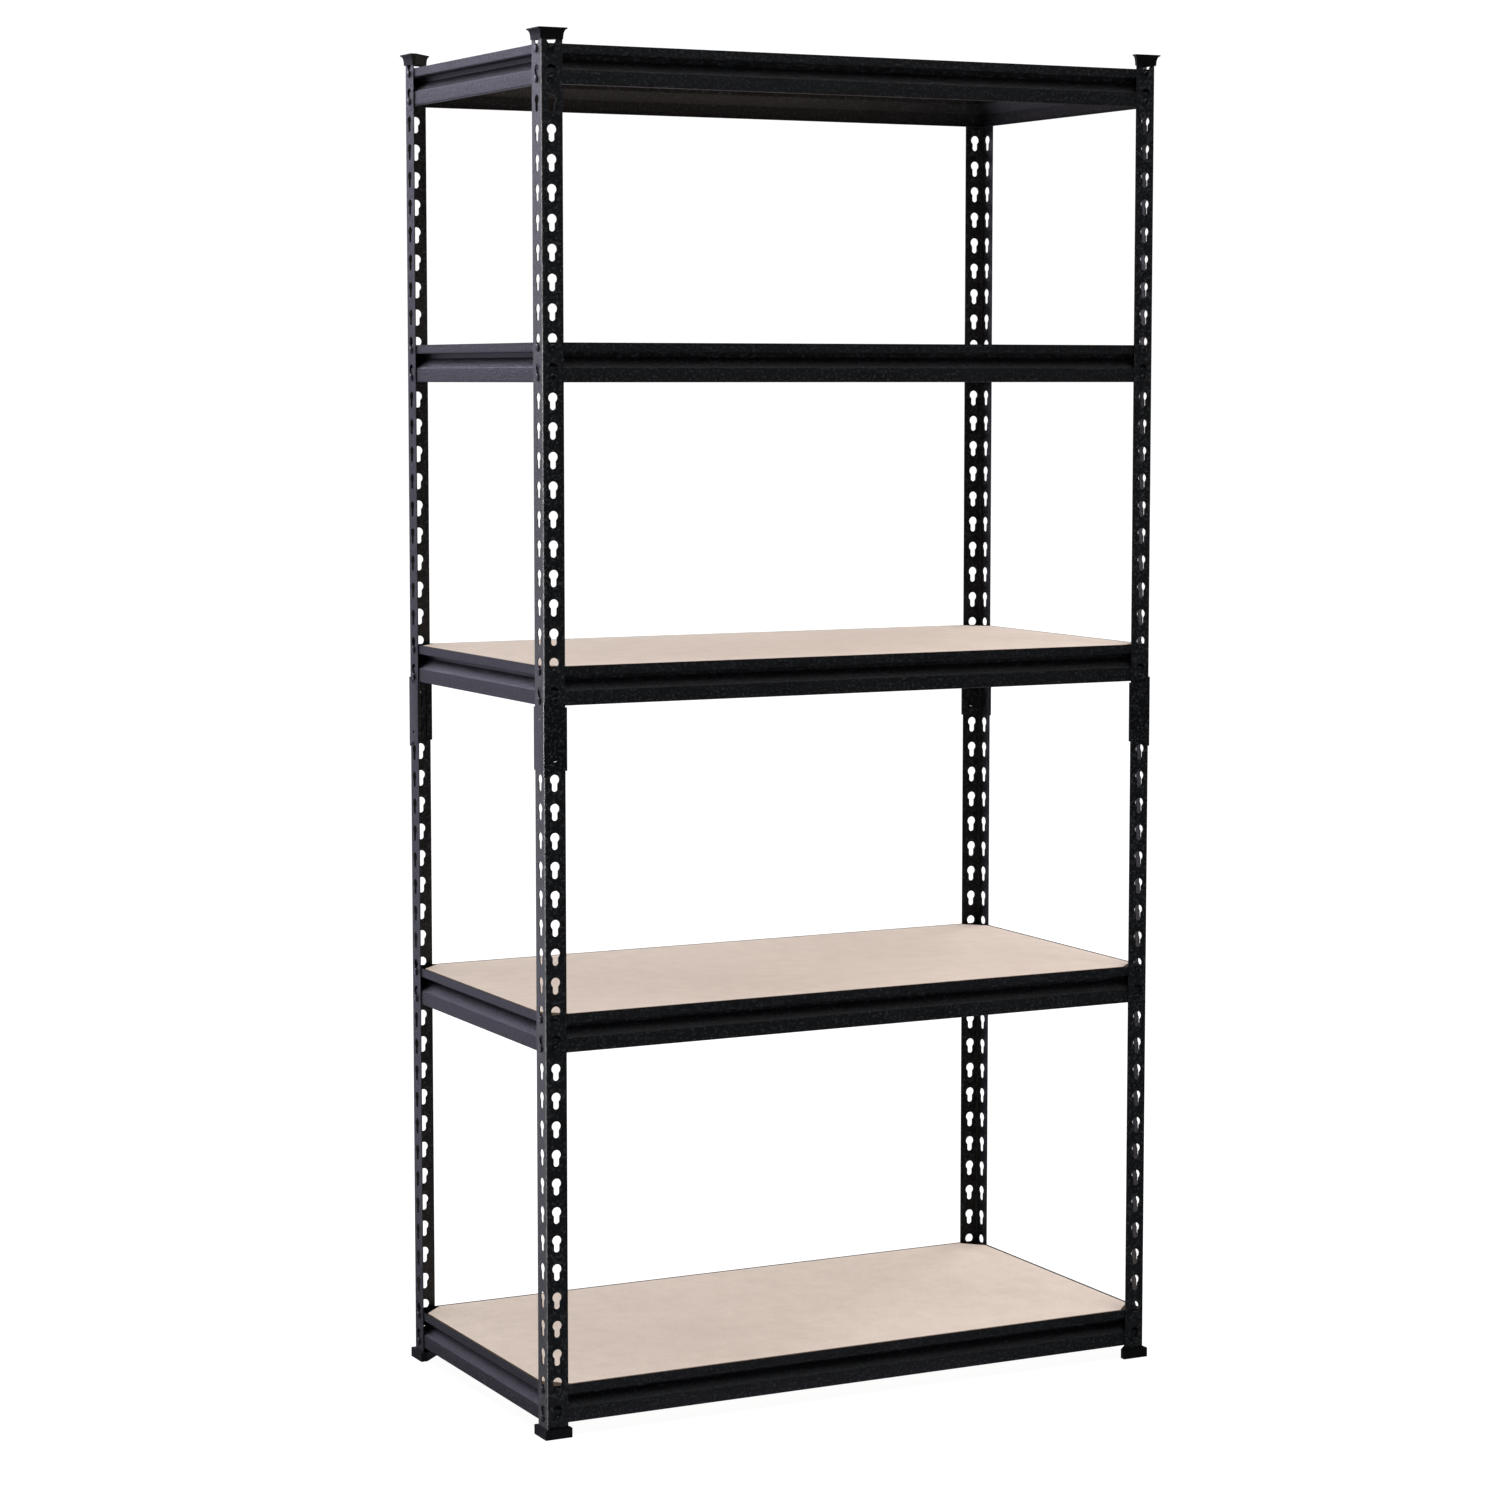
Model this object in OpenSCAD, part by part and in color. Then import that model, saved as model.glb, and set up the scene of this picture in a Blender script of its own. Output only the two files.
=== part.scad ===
// Boltless shelving unit: four slotted angle posts in two halves, riveted
// beams that hook into keyholes, and five loose decks.
// Millimetres. Origin on the floor under the centre, +Z up, +X to the right
// seen from the front, front towards -Y.

/* [Overall] */
// Width over the outer faces of the posts
unit_w = 930; // [600:1:1250]
// Depth over the outer faces of the posts
unit_d = 470; // [300:1:620]

/* [Posts] */
// Distance between neighbouring keyholes
pitch = 38.1; // [36:0.1:40]
// Height of the lowest keyhole's narrow end above the floor
slot_first = 25.3; // [24:0.1:27]
// Width of each leg of the post angle
leg_w = 30; // [28:0.5:34]
// Thickness of the post sheet
post_t = 1.2; // [1:0.1:1.6]
// Distance of the keyholes from the outer corner
hole_in = 14.5; // [13:0.1:16]
// Radius of the wide end of a keyhole
hole_r = 6.5; // [6:0.1:7]
// Radius of the narrow end of a keyhole
slot_r = 4; // [3.8:0.1:4.4]
// Height of the wide end over the narrow end
hole_rise = 11.8; // [10:0.1:13]

/* [Beams] */
// Height of a beam
beam_h = 51.5; // [50:0.5:52]
// Thickness of the beam sheet
beam_t = 1; // [0.8:0.1:1.2]
// How far the web is set back from the face
beam_back = 16; // [12:0.5:20]
// Height of the upper lip over the ledge
lip_h = 11.3; // [10.5:0.1:12]
// Height of the lower band
band_h = 19; // [16:0.5:20]
// Height of the slope between the band and the web
slope_h = 13.5; // [8:0.5:14]
// Upper rivet below the top of the beam
rivet_down = 7; // [6:0.1:8]

/* [Decks] */
// Thickness of a deck
deck_t = 11; // [9:0.5:12]
// Length of the cut corners of a deck
deck_clip = 30; // [20:1:40]

/* [Couplers] */
// Height of a coupler at its hooks
coupler_h = 83; // [78:0.5:84]
// Extra height of the coupler at the corner, each end
coupler_peak = 7.5; // [4:0.5:8]
// Sheet of the coupler
coupler_t = 1.2; // [1:0.1:1.5]

/* [End fittings] */
// Height of a top cap
cap_h = 14.6; // [12:0.1:15]
// Overhang of the cap's rim
cap_rim = 5.5; // [4:0.1:6.5]
// Height of a foot
foot_h = 13; // [10:0.1:14]
// Overhang of the foot
foot_rim = 4.5; // [3:0.1:5.5]

/* [Hidden] */
fit = 0.3;                       // gap between parts that lift past each other
snug = 0.1;                      // gap between parts that stay together
slots = 48;                      // keyholes up a whole post
half_slots = slots / 2;
levels = [0, 13, 25, 36, 46];    // keyhole that carries each shelf's lower rivets, from the bottom
// shelf 1 is the top one
function level_of(s) = levels[5 - s];
function slot_z(i) = slot_first + i * pitch;
function rivet_z(s, j) = slot_z(level_of(s) + j) - 0.2;
function beam_top(s) = rivet_z(s, 1) + rivet_down;
sole = 3;
lid = 2;
post_bottom = sole;
post_top = slot_z(slots - 1) + hole_rise + hole_r + 6.3;
total_h = post_top + lid;
post_split = (slot_z(half_slots) - slot_r + slot_z(half_slots - 1) + hole_rise + hole_r) / 2;
face_in = post_t + fit;          // beam face behind the post's outer face
half_w = unit_w / 2 - face_in;
half_d = unit_d / 2 - face_in;
shank_r = 3.5;
head_r = 5.2;
ledge_z = beam_h - lip_h - beam_t;
deck_in = face_in + beam_t + 3;

// ---- bent sheet: a strip of thickness t along path p, bent at centre radius rr
function turned(v, a) = [v[0] * cos(a) - v[1] * sin(a), v[0] * sin(a) + v[1] * cos(a)];
function dir(a, b) = (b - a) / norm(b - a);
function left_of(d) = [-d[1], d[0]];
function bend(p, i, o, rr, n) =
  let (d1 = dir(p[i - 1], p[i]), d2 = dir(p[i], p[i + 1]),
       sg = sign(d1[0] * d2[1] - d1[1] * d2[0]),
       th = acos(d1 * d2), c = p[i] - d1 * rr * tan(th / 2) + left_of(d1) * sg * rr)
  [for (j = [0 : n]) c + turned(-left_of(d1) * sg * (rr - sg * o), sg * th * j / n)];
function side(p, o, rr, n) =
  let (m = len(p) - 1, a = left_of(dir(p[0], p[1])), b = left_of(dir(p[m - 1], p[m])))
  concat([p[0] + a * o], [for (i = [1 : m - 1]) each bend(p, i, o, rr, n)], [p[m] + b * o]);
function backward(v) = [for (i = [len(v) - 1 : -1 : 0]) v[i]];
module strip(p, t, rr, n) {
  polygon(concat(side(p, t / 2, rr, n), backward(side(p, -t / 2, rr, n))));
}

// ---- corners: 0 front left, 1 rear left, 2 rear right, 3 front right
// in the corner's own frame the outer corner is the origin and both legs run along +X and +Y
module corner(c) {
  translate([(c < 2 ? -1 : 1) * unit_w / 2, (c == 0 || c == 3 ? -1 : 1) * unit_d / 2, 0])
    rotate([0, 0, -90 * c]) children();
}

// ---- keyhole cutter standing in the XZ plane, narrow end's centre at the origin
module keyhole() {
  translate([0, 3, 0]) rotate([90, 0, 0]) cylinder(h = 6, r = slot_r, $fn = 48);
  translate([0, 3, hole_rise]) rotate([90, 0, 0]) cylinder(h = 6, r = hole_r, $fn = 64);
  translate([-slot_r + 0.1, -3, 0]) cube([2 * slot_r - 0.2, 6, hole_rise]);
}

module post_half(c, upper) {
  z0 = upper ? post_split + snug / 2 : post_bottom;
  z1 = upper ? post_top : post_split - snug / 2;
  first = upper ? half_slots : 0;
  h = post_t / 2;
  corner(c) difference() {
    translate([0, 0, z0]) linear_extrude(height = z1 - z0)
      strip([[leg_w, h], [h, h], [h, leg_w]], post_t, 1.7, 5);
    for (i = [first : first + half_slots - 1]) {
      translate([hole_in, 0, slot_z(i)]) keyhole();
      translate([0, hole_in, slot_z(i)]) rotate([0, 0, 90]) keyhole();
    }
  }
}

// ---- coupler: sleeve over the post joint with a hook round each free edge
module peak_cut(s) {
  translate([0, 6, post_split]) rotate([90, 0, 0]) linear_extrude(height = 10)
    polygon([[0.4, s * (coupler_h / 2 + coupler_peak)], [14, s * coupler_h / 2], [40, s * coupler_h / 2],
             [40, s * (coupler_h / 2 + 20)], [0.4, s * (coupler_h / 2 + 20)]]);
}
module tab_hole(z, s) {
  translate([hole_in, 1, post_split + z]) rotate([90, 0, 0]) linear_extrude(height = 4)
    intersection() {
      circle(r = 3.4, $fn = 40);
      translate([-5, s > 0 ? 0 : -10]) square([10, 10]);
    }
}
// half-round tongue pressed inwards, hinged on its straight edge
module tab(z, s) {
  translate([hole_in, -snug - 0.1, post_split + z]) rotate([s * -42, 0, 0])
    rotate([90, 0, 0]) linear_extrude(height = 1)
      intersection() {
        circle(r = 3.1, $fn = 40);
        translate([-5, s > 0 ? -0.6 : -9.4]) square([10, 10]);
      }
}
module coupler(c) {
  o = -snug - coupler_t / 2;
  far = leg_w + 1.4 + coupler_t / 2;
  near = post_t + snug + coupler_t / 2;
  tall = coupler_h / 2 + coupler_peak;
  low = slot_z(half_slots - 1) - post_split;
  high = slot_z(half_slots) + hole_rise - post_split;
  color([0.1, 0.1, 0.11]) corner(c) {
    difference() {
      translate([0, 0, post_split - tall]) linear_extrude(height = 2 * tall)
        strip([[leg_w - 6, near], [far, near], [far, o], [o, o], [o, far], [near, far], [near, leg_w - 6]],
              coupler_t, 1.1, 4);
      for (s = [-1, 1]) {
        peak_cut(s);
        mirror([1, -1, 0]) peak_cut(s);
      }
      tab_hole(low, -1);
      mirror([1, -1, 0]) tab_hole(high, 1);
    }
    tab(low, -1);
    mirror([1, -1, 0]) tab(high, 1);
  }
}

// ---- plan of the end fittings: right triangle with its sharp corners cut off
module plan(o, e, c) {
  polygon([[-o, -o], [leg_w + e, -o], [leg_w + e, c], [c, leg_w + e], [-o, leg_w + e]]);
}
// L-shaped slot that takes the end of the post
module post_slot(z0, h) {
  translate([0, 0, z0]) linear_extrude(height = h)
    polygon([[-snug, -snug], [leg_w + snug, -snug], [leg_w + snug, post_t + snug],
             [2.6, post_t + snug], [post_t + snug, 2.6], [post_t + snug, leg_w + snug], [-snug, leg_w + snug]]);
}
module cap(c) {
  z = total_h - cap_h;
  // overhang of the skirt at heights up the flare
  f = [[0, 1.3], [5, 1.55], [8.6, 2.1], [11, 3], [12.4, 4.2], [13, cap_rim], [cap_h, cap_rim]];
  run = concat([for (v = f) [-v[1], v[0]]],
               [for (i = [len(f) - 1 : -1 : 0]) [leg_w + f[i][1] - 0.6, f[i][0]]]);
  hyp = concat([for (v = f) [(leg_w + 2.4 + v[1]) / sqrt(2), v[0]]], [[-30, cap_h], [-30, 0]]);
  color([0.06, 0.06, 0.06]) corner(c) translate([0, 0, z]) difference() {
    intersection() {
      translate([0, 50, 0]) rotate([90, 0, 0]) linear_extrude(height = 70) polygon(run);
      translate([-20, 0, 0]) rotate([90, 0, 90]) linear_extrude(height = 70) polygon(run);
      rotate([0, 0, 45]) translate([0, 60, 0]) rotate([90, 0, 0]) linear_extrude(height = 120) polygon(hyp);
    }
    post_slot(-1, cap_h - lid + 1);
    translate([0, 0, -1]) linear_extrude(height = cap_h - lid + 1)
      polygon([[3.4, 3.4], [leg_w - 2, 3.4], [3.4, leg_w - 2]]);
  }
}
module foot(c) {
  color([0.06, 0.06, 0.06]) corner(c) difference() {
    linear_extrude(height = foot_h) plan(foot_rim, foot_rim - 0.6, 5);
    post_slot(sole, foot_h);
    translate([0, 0, sole]) linear_extrude(height = foot_h)
      polygon([[3.4, 3.4], [leg_w - 1, 3.4], [3.4, leg_w - 1]]);
  }
}

// ---- beam: lower band, slope back to the web, ledge out again and upper lip
module beam(s, half, gap) {
  h = beam_t / 2;
  z0 = beam_top(s) - beam_h;
  end = half - gap;
  inner = 1.15;
  m = 0.45;
  color([0.1, 0.1, 0.11]) translate([0, 0, z0]) difference() {
    intersection() {
      rotate([90, 0, 90]) linear_extrude(height = 2 * half, center = true)
        strip([[6, h], [h, h], [h, band_h], [beam_back - h, band_h + slope_h], [beam_back - h, ledge_z + h],
               [h, ledge_z + h], [h, beam_h]], beam_t, 1.2, 4);
      translate([0, 0, -1]) linear_extrude(height = beam_h + 2)
        polygon([[-end, -1], [end, -1], [end, inner], [half - inner - m, inner], [half - 22 - m, 22],
                 [-half + 22 + m, 22], [-half + inner + m, inner], [-end, inner]]);
    }
    for (x = [-1, 1], j = [0, 1])
      translate([x * (half + face_in - hole_in), 2, rivet_z(s, j) - z0])
        rotate([90, 0, 0]) cylinder(h = 4, r = shank_r + 0.05, $fn = 32);
  }
}
module front_beam(s) { translate([0, -half_d, 0]) beam(s, half_w, 1); }
module rear_beam(s) { rotate([0, 0, 180]) translate([0, -half_d, 0]) beam(s, half_w, 1); }
module left_beam(s) { rotate([0, 0, -90]) translate([0, -half_w, 0]) beam(s, half_d, 1.35); }
module right_beam(s) { rotate([0, 0, 90]) translate([0, -half_w, 0]) beam(s, half_d, 1.35); }

// ---- rivet lying along Y, head towards -Y, the post's outer face at y = 0
module rivet() {
  rotate([90, 0, 0]) rotate_extrude($fn = 40)
    polygon([[0, -face_in - beam_t - 0.9], [2.8, -face_in - beam_t - 0.9], [2.8, -face_in - beam_t],
             [shank_r, -face_in - beam_t], [shank_r, fit], [head_r, fit], [head_r, 0.8],
             [4.7, 1.6], [3.6, 2.15], [1.9, 2.45], [0, 2.5]]);
}
module rivet_set(s) {
  color([0.1, 0.1, 0.11]) for (c = [0 : 3], j = [0, 1]) corner(c) {
    translate([hole_in, 0, rivet_z(s, j)]) rivet();
    translate([0, hole_in, rivet_z(s, j)]) rotate([0, 0, -90]) rivet();
  }
}

module board(s) {
  w = unit_w / 2 - deck_in;
  d = unit_d / 2 - deck_in;
  k = deck_clip;
  color([0.85, 0.78, 0.7]) translate([0, 0, beam_top(s) - deck_t]) linear_extrude(height = deck_t)
    polygon([[-w + k, -d], [w - k, -d], [w, -d + k], [w, d - k], [w - k, d], [-w + k, d], [-w, d - k], [-w, -d + k]]);
}

module post_front_left_upper() { color([0.1, 0.1, 0.11]) post_half(0, true); }
module post_front_left_lower() { color([0.1, 0.1, 0.11]) post_half(0, false); }
module post_rear_left_upper() { color([0.1, 0.1, 0.11]) post_half(1, true); }
module post_rear_left_lower() { color([0.1, 0.1, 0.11]) post_half(1, false); }
module post_rear_right_upper() { color([0.1, 0.1, 0.11]) post_half(2, true); }
module post_rear_right_lower() { color([0.1, 0.1, 0.11]) post_half(2, false); }
module post_front_right_upper() { color([0.1, 0.1, 0.11]) post_half(3, true); }
module post_front_right_lower() { color([0.1, 0.1, 0.11]) post_half(3, false); }
module coupler_front_left() { coupler(0); }
module coupler_rear_left() { coupler(1); }
module coupler_rear_right() { coupler(2); }
module coupler_front_right() { coupler(3); }
module cap_front_left() { cap(0); }
module cap_rear_left() { cap(1); }
module cap_rear_right() { cap(2); }
module cap_front_right() { cap(3); }
module foot_front_left() { foot(0); }
module foot_rear_left() { foot(1); }
module foot_rear_right() { foot(2); }
module foot_front_right() { foot(3); }
module front_beam_1() { front_beam(1); }
module front_beam_2() { front_beam(2); }
module front_beam_3() { front_beam(3); }
module front_beam_4() { front_beam(4); }
module front_beam_5() { front_beam(5); }
module rear_beam_1() { rear_beam(1); }
module rear_beam_2() { rear_beam(2); }
module rear_beam_3() { rear_beam(3); }
module rear_beam_4() { rear_beam(4); }
module rear_beam_5() { rear_beam(5); }
module left_beam_1() { left_beam(1); }
module left_beam_2() { left_beam(2); }
module left_beam_3() { left_beam(3); }
module left_beam_4() { left_beam(4); }
module left_beam_5() { left_beam(5); }
module right_beam_1() { right_beam(1); }
module right_beam_2() { right_beam(2); }
module right_beam_3() { right_beam(3); }
module right_beam_4() { right_beam(4); }
module right_beam_5() { right_beam(5); }
module board_1() { board(1); }
module board_2() { board(2); }
module board_3() { board(3); }
module board_4() { board(4); }
module board_5() { board(5); }
module rivets_1() { rivet_set(1); }
module rivets_2() { rivet_set(2); }
module rivets_3() { rivet_set(3); }
module rivets_4() { rivet_set(4); }
module rivets_5() { rivet_set(5); }

post_front_left_upper();
post_front_left_lower();
post_rear_left_upper();
post_rear_left_lower();
post_rear_right_upper();
post_rear_right_lower();
post_front_right_upper();
post_front_right_lower();
coupler_front_left();
coupler_rear_left();
coupler_rear_right();
coupler_front_right();
cap_front_left();
cap_rear_left();
cap_rear_right();
cap_front_right();
foot_front_left();
foot_rear_left();
foot_rear_right();
foot_front_right();
front_beam_1();
front_beam_2();
front_beam_3();
front_beam_4();
front_beam_5();
rear_beam_1();
rear_beam_2();
rear_beam_3();
rear_beam_4();
rear_beam_5();
left_beam_1();
left_beam_2();
left_beam_3();
left_beam_4();
left_beam_5();
right_beam_1();
right_beam_2();
right_beam_3();
right_beam_4();
right_beam_5();
board_1();
board_2();
board_3();
board_4();
board_5();
rivets_1();
rivets_2();
rivets_3();
rivets_4();
rivets_5();
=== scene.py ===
import math

import bpy
from mathutils import Euler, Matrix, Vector


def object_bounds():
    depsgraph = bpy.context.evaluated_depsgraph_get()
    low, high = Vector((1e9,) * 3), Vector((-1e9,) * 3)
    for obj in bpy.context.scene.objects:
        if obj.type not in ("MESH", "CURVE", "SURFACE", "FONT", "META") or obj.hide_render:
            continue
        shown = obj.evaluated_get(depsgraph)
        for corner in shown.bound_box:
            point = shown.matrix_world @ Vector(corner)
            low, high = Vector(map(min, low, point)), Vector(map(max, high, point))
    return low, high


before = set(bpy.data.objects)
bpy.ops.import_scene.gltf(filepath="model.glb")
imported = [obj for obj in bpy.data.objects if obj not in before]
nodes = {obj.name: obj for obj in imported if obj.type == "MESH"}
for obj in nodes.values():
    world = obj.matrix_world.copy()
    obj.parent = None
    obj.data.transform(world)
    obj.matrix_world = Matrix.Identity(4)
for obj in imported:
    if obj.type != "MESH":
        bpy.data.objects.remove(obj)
cad_box = [list(v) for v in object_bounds()]
lo, hi = Vector(cad_box[0]), Vector(cad_box[1])
scene = bpy.context.scene


# ---------------------------------------------------------------- node helpers
class Net:
    """A short way to write a node tree."""

    def __init__(self, name):
        self.mat = bpy.data.materials.new(name)
        self.mat.use_nodes = True
        self.nt = self.mat.node_tree
        self.nt.nodes.clear()
        self.out = self.add("ShaderNodeOutputMaterial")
        self.bsdf = self.add("ShaderNodeBsdfPrincipled")
        self.link(self.bsdf, "BSDF", self.out, "Surface")

    def add(self, kind, **sets):
        n = self.nt.nodes.new(kind)
        for k, v in sets.items():
            if hasattr(n, k):
                setattr(n, k, v)
            else:
                n.inputs[k.replace("_", " ")].default_value = v
        return n

    def link(self, a, out, b, inp):
        o = a.outputs[out]
        i = b.inputs[inp]
        self.nt.links.new(o, i)

    def noise(self, scale, detail=3.0, rough=0.5, vec=None, dist=0.0):
        n = self.add("ShaderNodeTexNoise")
        n.inputs["Scale"].default_value = scale
        n.inputs["Detail"].default_value = detail
        n.inputs["Roughness"].default_value = rough
        n.inputs["Distortion"].default_value = dist
        if vec is not None:
            self.nt.links.new(vec, n.inputs["Vector"])
        return n

    def ramp(self, fac, stops, interp="LINEAR"):
        r = self.add("ShaderNodeValToRGB")
        r.color_ramp.interpolation = interp
        e = r.color_ramp.elements
        while len(e) > len(stops):
            e.remove(e[-1])
        while len(e) < len(stops):
            e.new(1.0)
        for el, (p, c) in zip(e, stops):
            el.position = p
            el.color = (*c, 1.0) if len(c) == 3 else c
        self.nt.links.new(fac, r.inputs["Fac"])
        return r.outputs["Color"]

    def range(self, val, a, b, c, d):
        m = self.add("ShaderNodeMapRange")
        for k, v in zip(("From Min", "From Max", "To Min", "To Max"), (a, b, c, d)):
            m.inputs[k].default_value = v
        self.nt.links.new(val, m.inputs["Value"])
        return m.outputs["Result"]

    def mix(self, fac, a, b, mode="MIX"):
        m = self.add("ShaderNodeMix", data_type="RGBA", blend_type=mode)
        for name, v in (("Factor", fac), ("A", a), ("B", b)):
            s = [i for i in m.inputs if i.name == name and (name == "Factor" and i.type == "VALUE" or i.type == "RGBA")][0]
            if hasattr(v, "default_value") and hasattr(v, "links"):
                self.nt.links.new(v, s)
            else:
                s.default_value = v if name == "Factor" else (*v, 1.0)
        return [o for o in m.outputs if o.type == "RGBA"][0]

    def math(self, op, a, b=None):
        m = self.add("ShaderNodeMath", operation=op)
        for i, v in enumerate((a, b)):
            if v is None:
                continue
            if hasattr(v, "links"):
                self.nt.links.new(v, m.inputs[i])
            else:
                m.inputs[i].default_value = v
        return m.outputs[0]

    def bump(self, height, strength, dist, normal=None):
        b = self.add("ShaderNodeBump")
        b.inputs["Strength"].default_value = strength
        b.inputs["Distance"].default_value = dist
        self.nt.links.new(height, b.inputs["Height"])
        if normal is not None:
            self.nt.links.new(normal, b.inputs["Normal"])
        return b.outputs["Normal"]

    def coords(self):
        return self.add("ShaderNodeTexCoord").outputs["Object"]

    def shifted(self, v):
        m = self.add("ShaderNodeMapping")
        m.inputs["Location"].default_value = v
        self.nt.links.new(self.coords(), m.inputs["Vector"])
        return m.outputs["Vector"]


# ---------------------------------------------------------------- materials
def powder_coat(name, seed, peel=1.0, rough=0.36):
    """Semi-gloss black powder coat with orange peel and fine speckle; the light bluish flecks in its colour
    are partly the coat's own texture and partly painted glints.
    """
    n = Net(name)
    v = n.shifted((seed * 1.37, seed * 0.71, seed * 0.43))
    cell = n.noise(290.0, 3.0, 0.6, v)
    fine = n.noise(900.0, 2.0, 0.6, v)
    cloud = n.noise(7.0, 3.0, 0.6, v)
    base = n.ramp(cloud.outputs["Fac"], [(0.3, (0.0022, 0.0023, 0.0027)), (0.7, (0.0042, 0.0043, 0.0050))])
    # painted glints: light bluish flecks mixed into the near-black colour, partly the coat's own speckle
    # and partly standing in for glints of light
    speckle_and_painted_glints = n.ramp(cell.outputs["Fac"], [(0.54, (0, 0, 0)), (0.66, (1, 1, 1))])
    col = n.mix(n.math("MULTIPLY", speckle_and_painted_glints, 0.45), base, (0.060, 0.066, 0.078))
    n.nt.links.new(col, n.bsdf.inputs["Base Color"])
    r = n.range(cell.outputs["Fac"], 0.3, 0.7, rough - 0.07, rough + 0.10)
    n.nt.links.new(r, n.bsdf.inputs["Roughness"])
    n.bsdf.inputs["IOR"].default_value = 1.5
    h = n.math("ADD", cell.outputs["Fac"], n.math("MULTIPLY", fine.outputs["Fac"], 0.35))
    n.nt.links.new(n.bump(h, 0.9 * peel, 0.0011), n.bsdf.inputs["Normal"])
    return n.mat


def particle_board(name, seed, painted_shade):
    """Sanded wood-based board: pinkish beige with fine fibre and darker raw edges."""
    n = Net(name)
    v = n.shifted((seed * 0.9, seed * 0.33, 0.0))
    big = n.noise(2.2, 2.0, 0.5, v)
    mid = n.noise(34.0, 4.0, 0.65, v)
    fib = n.noise(520.0, 4.0, 0.7, v)
    face = n.ramp(big.outputs["Fac"], [(0.3, (0.735, 0.615, 0.540)), (0.7, (0.785, 0.665, 0.588))])
    # painted shade: the face colour is multiplied by a per-board factor, below 1 for the lower boards so
    # they look less lit
    face = n.mix(1.0, face, (painted_shade, painted_shade, painted_shade), "MULTIPLY")
    tone = n.ramp(mid.outputs["Fac"], [(0.32, (0.93, 0.92, 0.91)), (0.68, (1.03, 1.03, 1.03))])
    face = n.mix(1.0, face, tone, "MULTIPLY")
    grain = n.ramp(fib.outputs["Fac"], [(0.30, (0.90, 0.87, 0.84)), (0.50, (1.0, 1.0, 1.0)), (0.72, (1.05, 1.05, 1.04))])
    face = n.mix(1.0, face, grain, "MULTIPLY")
    # layered chips show on the cut sides
    geo = n.add("ShaderNodeNewGeometry")
    sep = n.add("ShaderNodeSeparateXYZ")
    n.nt.links.new(geo.outputs["Normal"], sep.inputs["Vector"])
    up = n.math("ABSOLUTE", sep.outputs["Z"])
    side = n.range(up, 0.5, 0.85, 1.0, 0.0)
    m = n.add("ShaderNodeMapping")
    m.inputs["Scale"].default_value = (1.0, 1.0, 5.0)
    n.nt.links.new(v, m.inputs["Vector"])
    chips = n.noise(260.0, 3.0, 0.7, m.outputs["Vector"])
    edge = n.ramp(chips.outputs["Fac"], [(0.35, (0.22, 0.145, 0.09)), (0.65, (0.40, 0.29, 0.20))])
    # painted shade: the downward-facing underside is darkened to about a third of the face colour, standing
    # in for the shade under the board
    painted_underside_shade = n.range(sep.outputs["Z"], -0.9, -0.5, 1.0, 0.0)
    face = n.mix(painted_underside_shade, face, n.mix(1.0, face, (0.30, 0.27, 0.25), "MULTIPLY"))
    col = n.mix(side, face, edge)
    n.nt.links.new(col, n.bsdf.inputs["Base Color"])
    r = n.range(mid.outputs["Fac"], 0.3, 0.7, 0.58, 0.72)
    n.nt.links.new(r, n.bsdf.inputs["Roughness"])
    h = n.math("ADD", fib.outputs["Fac"], n.math("MULTIPLY", chips.outputs["Fac"], side))
    n.nt.links.new(n.bump(h, 0.25, 0.0003), n.bsdf.inputs["Normal"])
    return n.mat


def moulded_plastic(name, seed):
    """Matte black moulded plastic with a fine spark-eroded grain."""
    n = Net(name)
    v = n.shifted((seed * 2.1, seed * 0.5, seed))
    grain = n.noise(1300.0, 2.0, 0.6, v)
    cloud = n.noise(30.0, 2.0, 0.5, v)
    base = n.ramp(cloud.outputs["Fac"], [(0.3, (0.0016, 0.0016, 0.0017)), (0.7, (0.0030, 0.0030, 0.0032))])
    n.nt.links.new(base, n.bsdf.inputs["Base Color"])
    n.nt.links.new(n.range(cloud.outputs["Fac"], 0.3, 0.7, 0.50, 0.64), n.bsdf.inputs["Roughness"])
    n.bsdf.inputs["Specular IOR Level"].default_value = 0.22
    n.nt.links.new(n.bump(grain.outputs["Fac"], 0.35, 0.0002), n.bsdf.inputs["Normal"])
    return n.mat


# ---------------------------------------------------------------- smooth bends
def smooth_group(angle):
    """Welds the mesh and shades it smooth, but sharp where faces meet above the angle."""
    g = bpy.data.node_groups.new("smooth_bends", "GeometryNodeTree")
    g.interface.new_socket("Geometry", in_out="INPUT", socket_type="NodeSocketGeometry")
    g.interface.new_socket("Geometry", in_out="OUTPUT", socket_type="NodeSocketGeometry")
    a, b = g.nodes.new("NodeGroupInput"), g.nodes.new("NodeGroupOutput")
    weld = g.nodes.new("GeometryNodeMergeByDistance")
    weld.inputs["Distance"].default_value = 1e-5
    faces = g.nodes.new("GeometryNodeSetShadeSmooth")
    faces.domain = "FACE"
    faces.inputs["Shade Smooth"].default_value = True
    edges = g.nodes.new("GeometryNodeSetShadeSmooth")
    edges.domain = "EDGE"
    edges.inputs["Shade Smooth"].default_value = False
    ang = g.nodes.new("GeometryNodeInputMeshEdgeAngle")
    cmp = g.nodes.new("FunctionNodeCompare")
    cmp.operation = "GREATER_THAN"
    cmp.inputs[1].default_value = math.radians(angle)
    L = g.links.new
    L(a.outputs[0], weld.inputs["Geometry"])
    L(weld.outputs[0], faces.inputs["Geometry"])
    L(faces.outputs[0], edges.inputs["Geometry"])
    L(ang.outputs["Unsigned Angle"], cmp.inputs[0])
    L(cmp.outputs[0], edges.inputs["Selection"])
    L(edges.outputs[0], b.inputs[0])
    return g


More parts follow.
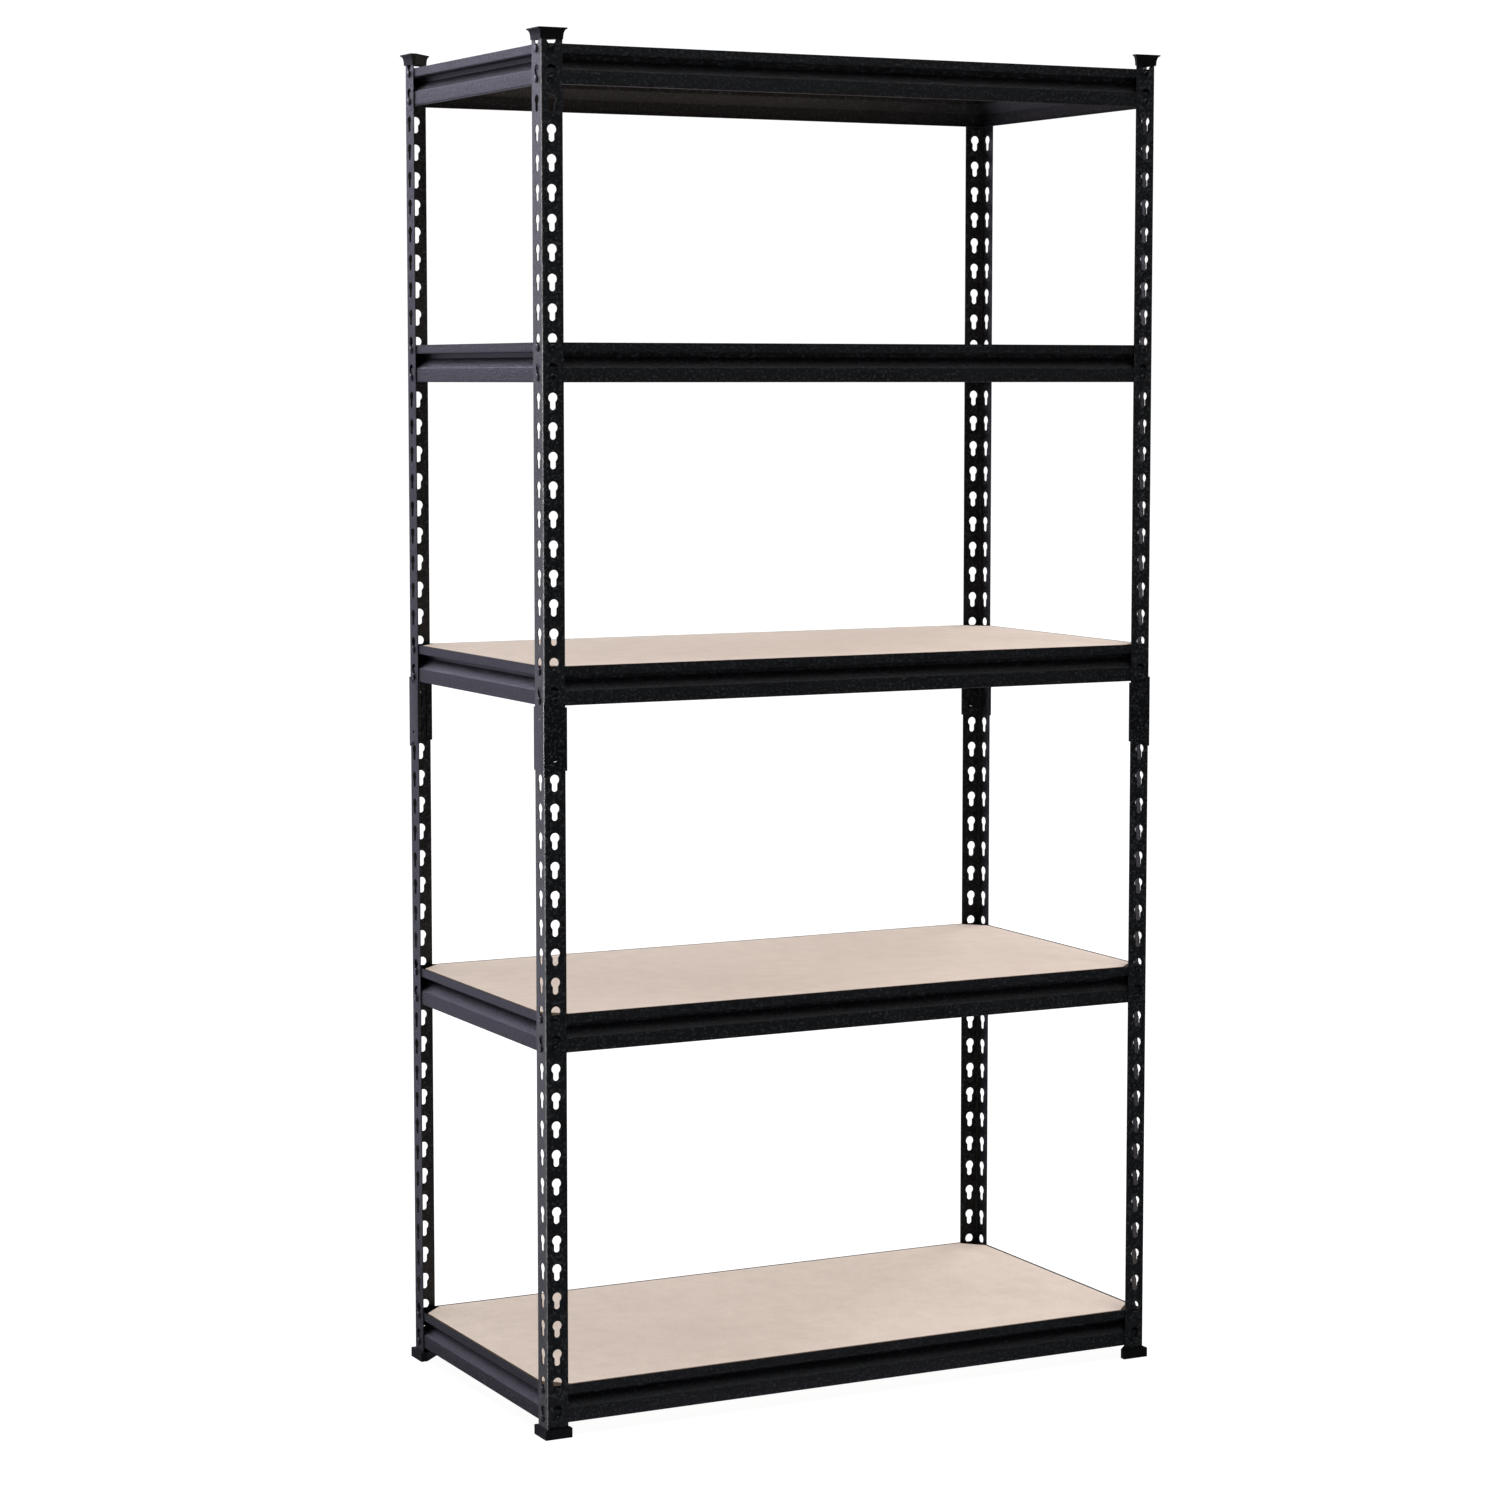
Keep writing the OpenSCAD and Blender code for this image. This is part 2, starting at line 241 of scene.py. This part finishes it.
bends = smooth_group(34)
paints = [powder_coat("powder_coat_%d" % i, i + 1, 1.0, 0.43 + 0.015 * (i % 3)) for i in range(4)]
rivet_paint = powder_coat("powder_coat_rivet", 9, 0.5, 0.28)
coupler_paint = powder_coat("powder_coat_coupler", 7, 0.6, 0.34)
plastic = moulded_plastic("moulded_plastic", 3)
# painted shade: the last factors darken boards 4 and 5 as if less light reached the lower shelves
boards = [particle_board("particle_board_%d" % i, i + 1, (1.0, 1.0, 0.99, 0.97, 0.95)[i]) for i in range(5)]

for i, (name, o) in enumerate(sorted(nodes.items())):
    if name.startswith("board"):
        mat = boards[int(name[-1]) - 1]
    elif name.startswith(("cap", "foot")):
        mat = plastic
    elif name.startswith("rivets"):
        mat = rivet_paint
    elif name.startswith("coupler"):
        mat = coupler_paint
    else:
        mat = paints[i % len(paints)]
    o.data.materials.clear()
    o.data.materials.append(mat)
    bpy.context.view_layer.objects.active = o
    if o.data.has_custom_normals:
        with bpy.context.temp_override(object=o, active_object=o, selected_objects=[o]):
            bpy.ops.mesh.customdata_custom_splitnormals_clear()
    m = o.modifiers.new("bends", "NODES")
    m.node_group = bends

# ---------------------------------------------------------------- studio
mesh = bpy.data.meshes.new("floor")
s = 30.0
mesh.from_pydata([(-s, -s, 0), (s, -s, 0), (s, s, 0), (-s, s, 0)], [], [(0, 1, 2, 3)])
floor = bpy.data.objects.new("floor", mesh)
scene.collection.objects.link(floor)
floor.location.z = lo.z - 0.0002
fn = Net("floor_white")
fc = fn.ramp(fn.noise(1.5, 2.0, 0.5, fn.coords()).outputs["Fac"], [(0.3, (0.15, 0.15, 0.15)), (0.7, (0.17, 0.17, 0.17))])
fn.nt.links.new(fc, fn.bsdf.inputs["Base Color"])
fn.bsdf.inputs["Emission Color"].default_value = (1.0, 1.0, 1.0, 1.0)
fn.bsdf.inputs["Emission Strength"].default_value = 0.96
fn.bsdf.inputs["Roughness"].default_value = 0.9
fn.bsdf.inputs["Specular IOR Level"].default_value = 0.0
mesh.materials.append(fn.mat)
floor.visible_glossy = False

world = bpy.data.worlds.new("studio")
scene.world = world
world.use_nodes = True
world.node_tree.nodes["Background"].inputs["Color"].default_value = (1, 1, 1, 1)
world.node_tree.nodes["Background"].inputs["Strength"].default_value = 1.05
for k in ("diffuse", "glossy", "transmission", "scatter"):
    setattr(world.cycles_visibility, k, False)


def group(name, wanted):
    """A collection that a light can be linked to."""
    c = bpy.data.collections.new(name)
    for k, o in sorted(nodes.items()):
        if wanted(k):
            c.objects.link(o)
    return c


metal = group("lit_metal", lambda k: not k.startswith("board"))
corner = group("lit_corner", lambda k: "front_left" in k and k.startswith(("post", "coupler")))
decks = group("lit_decks", lambda k: k.startswith("board"))
plain = bpy.data.collections.new("lit_floor")
plain.objects.link(floor)


def panel(name, at, look, size, power, colour=(1, 1, 1), only=None):
    """A soft box: size in metres, power as radiance of its face; look None lies it face up."""
    d = bpy.data.lights.new(name, "AREA")
    d.shape = "RECTANGLE"
    d.size, d.size_y = size
    d.color = colour
    # radiance L of a one-sided area light of power P is P / (pi * area)
    d.energy = power * math.pi * size[0] * size[1]
    o = bpy.data.objects.new(name, d)
    scene.collection.objects.link(o)
    o.location = at
    o.rotation_mode = "QUATERNION"
    if look is None:
        o.rotation_quaternion = Euler((math.pi, 0, 0)).to_quaternion()
    else:
        o.rotation_quaternion = (Vector(look) - Vector(at)).to_track_quat("-Z", "Y")
    o.visible_camera = False
    if only:
        o.light_linking.receiver_collection = only
    return o


def sun(name, energy, angle, elevation, azimuth, colour=(1, 1, 1), only=None, shadow=True):
    """Parallel light from an elevation and an azimuth, where 0 is the front and 90 the right."""
    d = bpy.data.lights.new(name, "SUN")
    d.energy = energy
    d.angle = math.radians(angle)
    d.color = colour
    d.use_shadow = shadow
    o = bpy.data.objects.new(name, d)
    scene.collection.objects.link(o)
    e, a = math.radians(elevation), math.radians(azimuth)
    to = Vector((math.sin(a) * math.cos(e), -math.cos(a) * math.cos(e), math.sin(e)))
    o.rotation_mode = "QUATERNION"
    o.rotation_quaternion = (-to).to_track_quat("-Z", "Y")
    if only:
        o.light_linking.receiver_collection = only
    return o


violet = (0.80, 0.77, 1.0)
blue = (0.80, 0.90, 1.0)
ground = lo.z - 0.0001
sun("overhead", 3.4, 25, 90, 0, only=plain)
sun("deck_fill", 1.32, 40, 50, -20, (1.0, 0.985, 0.97), decks, False)
panel("back", (-1.5, 4.5, 1.9), (-1.0, 0, 1.2), (8, 5), 0.68, violet, metal)
panel("back_high", (-2.2, 4.4, 3.3), (-0.4, 0, 0.9), (4, 2.0), 3.5, violet, metal)
panel("back_neutral", (-1.5, 4.6, 1.9), (-1.0, 0, 1.2), (8, 5), 1.15, (1, 1, 1), decks)
panel("left", (-4.5, 1.6, 1.4), (0, 0.2, 1.0), (5, 4), 0.48, violet, metal)
panel("left_neutral", (-4.6, 1.6, 1.4), (0, 0.2, 1.0), (5, 4), 0.35, (1, 1, 1), decks)
panel("top", (0, 0, 4.6), (0, 0, 0), (6, 6), 1.0)
panel("key", (1.6, -4.3, 4.9), (0, 0, 0.9), (4, 2.5), 3.9, (1, 1, 1), decks)
panel("key_metal", (-0.6, -4.3, 4.9), (0, 0, 0.9), (4, 2.5), 0.9, blue, metal)
panel("right", (5.5, 0.5, 1.6), (0, 0, 1.0), (4, 4), 0.7)
panel("right_neutral", (3.2, 0.8, 2.2), (0, 0, 1.0), (3, 3), 2.6, (1, 1, 1), decks)
edge = panel("edge", (-4.96, 0.0, 1.3), (-0.46, -0.23, 1.3), (0.4, 2.8), 190.0, (1, 1, 1), corner)
edge.visible_diffuse = False
panel("floor_front", (0.8, -2.2, ground), None, (6, 4), 0.10, blue, metal)
panel("floor_near", (-1.5, 0.2, ground), None, (3.5, 1.0), 0.20, violet, metal)
panel("floor_rear", (-1.0, 2.7, ground), None, (5, 3.8), 0.68, violet, metal)

# ---------------------------------------------------------------- camera
cam_data = bpy.data.cameras.new("camera")
cam = bpy.data.objects.new("camera", cam_data)
scene.collection.objects.link(cam)
scene.camera = cam
cam_data.sensor_width = 36.0
cam_data.lens = 88.742
cam_data.shift_y = -0.0300
cam.location = (-2.3844, -4.6169, 1.3950)
yaw, tilt, roll = math.radians(26.854), math.radians(-5.042), math.radians(0.0)
cam.rotation_mode = "XYZ"
cam.rotation_euler = (math.pi / 2 + tilt, roll, -yaw)
cam_data.clip_start, cam_data.clip_end = 0.05, 100.0

scene.view_settings.view_transform = "Standard"
scene.view_settings.look = "None"
scene.view_settings.exposure = 0.0
scene.view_settings.gamma = 1.0
